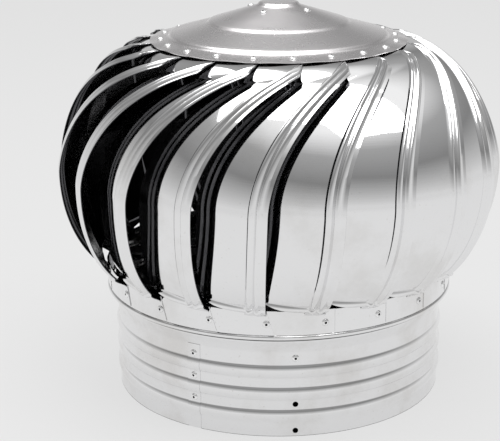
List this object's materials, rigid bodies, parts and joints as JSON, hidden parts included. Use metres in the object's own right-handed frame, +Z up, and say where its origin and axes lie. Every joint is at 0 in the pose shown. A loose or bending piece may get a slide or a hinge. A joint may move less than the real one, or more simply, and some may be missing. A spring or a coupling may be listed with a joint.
{
  "type": "roof turbine ventilator",
  "caption": "Wind driven roof turbine ventilator: a beaded round neck carries a head of swept ribbed vanes under a shallow cap, turning on a fixed spindle.",
  "frame": {"origin": "centre of the neck's bottom rim, on the surface it stands on", "axes": "+Z up along the spindle; -Y is the front, with the first column of fixing holes; +X to the right"},
  "size_m": [0.4016, 0.4016, 0.3521],
  "materials": {
    "vane_sheet": "mirror polished stainless steel sheet",
    "ring_sheet": "mirror polished stainless steel sheet",
    "neck_sheet": "bright rolled stainless steel sheet",
    "cap_sheet": "satin stainless steel sheet",
    "rivet": "bright aluminium blind rivets",
    "pressed_steel": "satin pressed steel",
    "turned_steel": "turned bright steel",
    "plated_hardware": "zinc plated steel",
    "bearing_steel": "ground bearing steel",
    "seal_rubber": "black rubber lip seal"
  },
  "bodies": {
    "base": {"neck": "neck_sheet", "seam_rivets": "rivet", "neck_bracket": "pressed_steel", "bracket_rivets": "rivet", "spindle": "turned_steel", "spindle_nuts": "plated_hardware", "spindle_washers": "plated_hardware", "spacer_tube": "turned_steel", "upper_bearing_inner_ring": "bearing_steel", "lower_bearing_inner_ring": "bearing_steel"},
    "head": {"vane_01": "vane_sheet", "vane_02": "vane_sheet", "vane_03": "vane_sheet", "vane_04": "vane_sheet", "vane_05": "vane_sheet", "vane_06": "vane_sheet", "vane_07": "vane_sheet", "vane_08": "vane_sheet", "vane_09": "vane_sheet", "vane_10": "vane_sheet", "vane_11": "vane_sheet", "vane_12": "vane_sheet", "vane_13": "vane_sheet", "vane_14": "vane_sheet", "vane_15": "vane_sheet", "vane_16": "vane_sheet", "vane_17": "vane_sheet", "vane_18": "vane_sheet", "vane_19": "vane_sheet", "vane_20": "vane_sheet", "lower_ring": "ring_sheet", "ring_rivets": "rivet", "top_cap": "cap_sheet", "cap_rivets": "rivet", "bearing_carrier": "pressed_steel", "carrier_rivets": "rivet", "head_spider": "pressed_steel", "upper_bearing_outer_ring": "bearing_steel", "upper_bearing_seals": "seal_rubber", "lower_bearing_outer_ring": "bearing_steel", "lower_bearing_seals": "seal_rubber", "carrier_circlip": "plated_hardware", "spider_circlip": "plated_hardware"}
  },
  "joints": [
    {"name": "head_spin", "type": "hinge", "parent": "base", "child": "head", "pos_m": [0, 0, 0.104], "axis": [0, 0, 1], "continuous": true}
  ]
}
